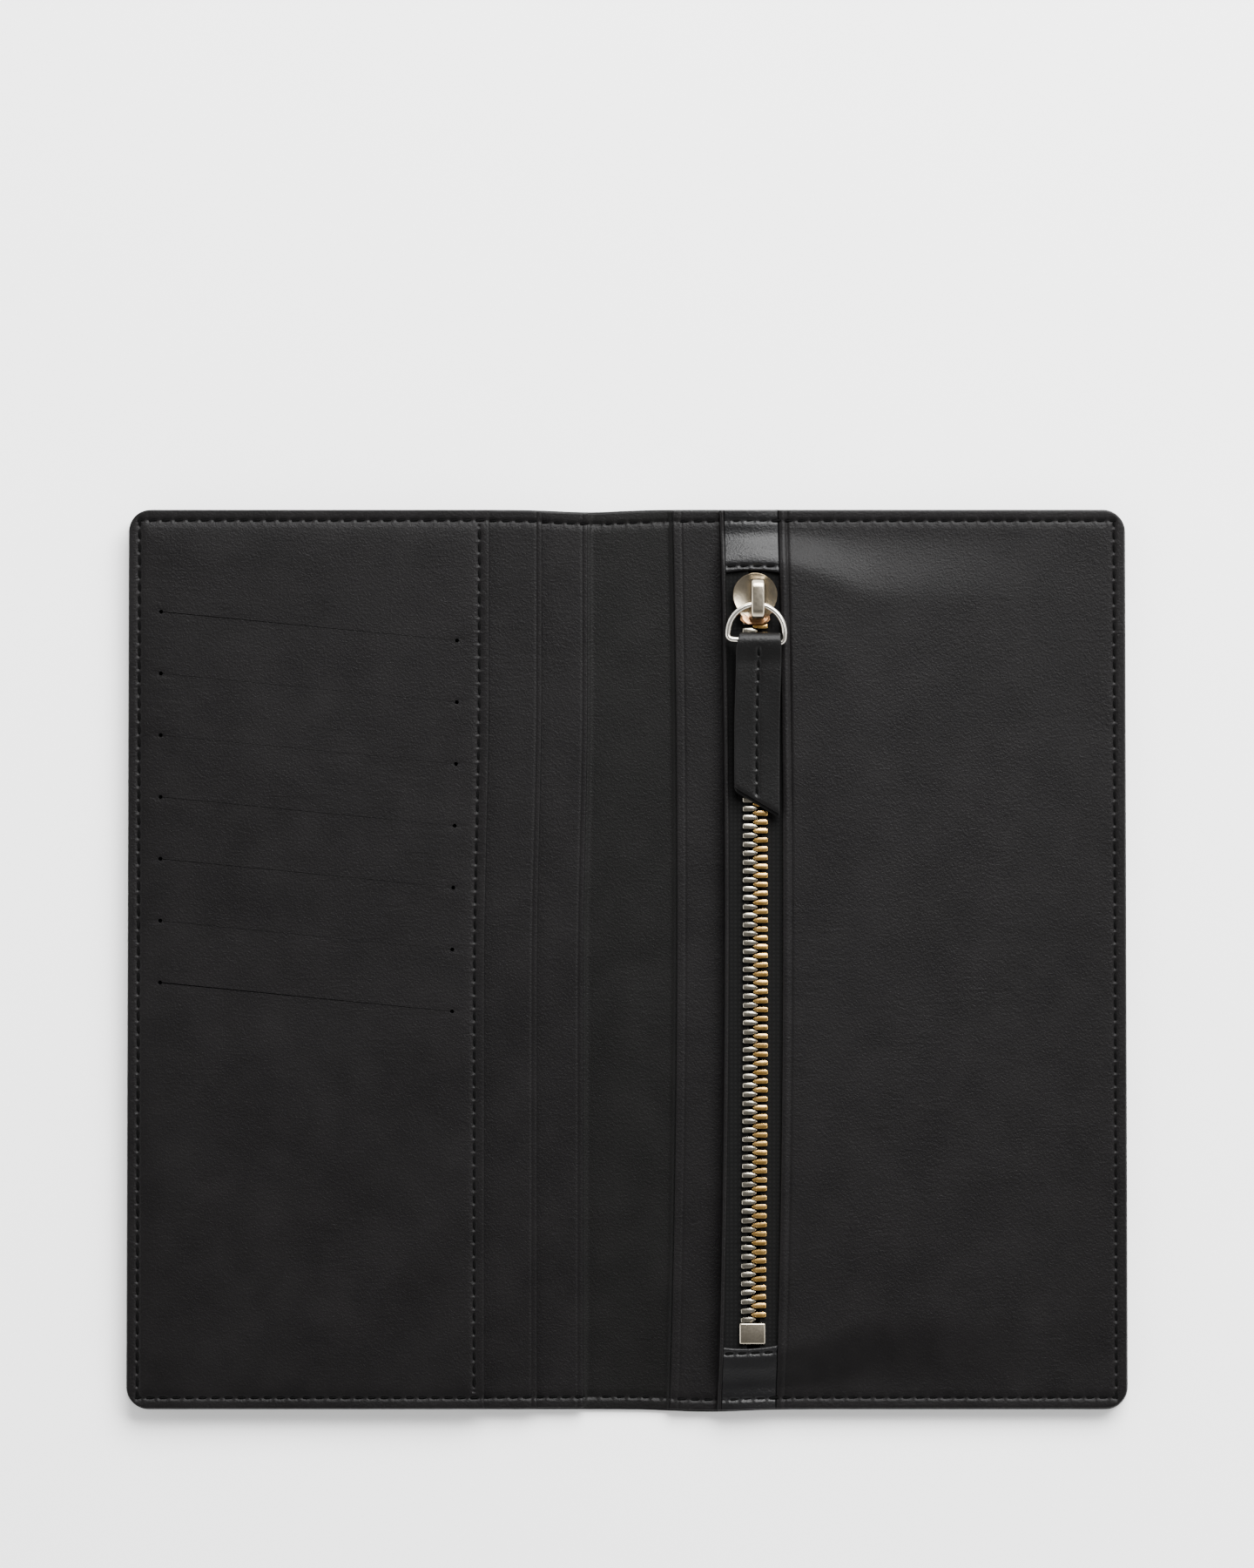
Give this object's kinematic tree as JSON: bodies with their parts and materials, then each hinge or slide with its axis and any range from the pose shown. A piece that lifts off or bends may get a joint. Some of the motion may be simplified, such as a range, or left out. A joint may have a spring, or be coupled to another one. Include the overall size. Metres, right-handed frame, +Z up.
{
  "type": "long bifold travel wallet",
  "caption": "Black leather long wallet lying open, with card slots, long pockets and a zipped pocket with a leather pull.",
  "frame": {"origin": "on the table under the middle of the spine, at the centre of the open wallet", "axes": "+X across both leaves towards the leaf with the zip, +Y along the spine towards the zip's closed end, +Z up from the table"},
  "size_m": [0.2, 0.18, 0.0102],
  "materials": {
    "cover_leather": "fine-grain black leather, satin",
    "panel_leather": "fine-grain black leather, satin",
    "lining_leather": "thin smooth black leather, satin",
    "strap_leather": "smooth black leather, satin",
    "board": "plain grey board",
    "pocket_fabric": "thin black woven lining",
    "zip_tape": "black woven zip tape",
    "thread": "black waxed thread",
    "teeth_nickel": "nickel plated",
    "teeth_brass": "polished",
    "slider_metal": "warm nickel plated, slightly worn"
  },
  "bodies": {
    "left_leaf": {"outer_cover_left": "cover_leather", "stiffener_left": "board", "lining_left": "lining_leather", "long_pocket_back": "panel_leather", "long_pocket_middle": "panel_leather", "card_panel": "panel_leather", "card_pocket_1": "pocket_fabric", "card_pocket_2": "pocket_fabric", "card_pocket_3": "pocket_fabric", "card_pocket_4": "pocket_fabric", "card_pocket_5": "pocket_fabric", "card_pocket_6": "pocket_fabric", "card_pocket_7": "pocket_fabric", "stitching_left_leaf": "thread", "stitching_card_panel": "thread"},
    "spine": {"outer_cover_spine": "cover_leather", "lining_spine": "lining_leather", "stitching_spine": "thread"},
    "right_leaf": {"outer_cover_right": "cover_leather", "stiffener_right": "board", "lining_right": "lining_leather", "note_pocket_right": "panel_leather", "zip_pocket_back": "panel_leather", "zip_pocket_bag": "pocket_fabric", "zip_side_wall": "panel_leather", "zip_pocket_front": "panel_leather", "zip_tape_left": "zip_tape", "zip_tape_right": "zip_tape", "zip_teeth_left": "teeth_nickel", "zip_teeth_right": "teeth_brass", "zip_bottom_stop": "teeth_nickel", "zip_end_tab_top": "panel_leather", "zip_end_tab_bottom": "panel_leather", "stitching_right_leaf": "thread", "stitching_zip_tabs": "thread"},
    "slider": {"slider_body": "slider_metal", "slider_bridge": "slider_metal"},
    "ring": {"pull_ring": "slider_metal"},
    "pull": {"pull_strap": "strap_leather", "stitching_pull_strap": "thread"}
  },
  "joints": [
    {"name": "fold_left", "type": "hinge", "parent": "left_leaf", "child": "spine", "pos_m": [-0.007, 0, 0.00145], "axis": [0, -1, 0], "range_deg": [0, 90]},
    {"name": "fold_right", "type": "hinge", "parent": "spine", "child": "right_leaf", "pos_m": [0.007, 0, 0.00145], "axis": [0, -1, 0], "range_deg": [0, 90]},
    {"name": "zip_slide", "type": "slide", "parent": "right_leaf", "child": "slider", "axis": [0, -1, 0], "range_m": [0, 0.1391], "deforming": ["zip_teeth_left", "zip_teeth_right", "zip_tape_left", "zip_tape_right"]},
    {"name": "ring_pivot", "type": "hinge", "parent": "slider", "child": "ring", "pos_m": [0.0256, 0.07025, 0.00865], "axis": [-1, 0, 0], "range_deg": [0, 180]},
    {"name": "pull_pivot", "type": "hinge", "parent": "ring", "child": "pull", "pos_m": [0.0256, 0.06295, 0.00865], "axis": [1, 0, 0], "range_deg": [-110, 0]}
  ]
}
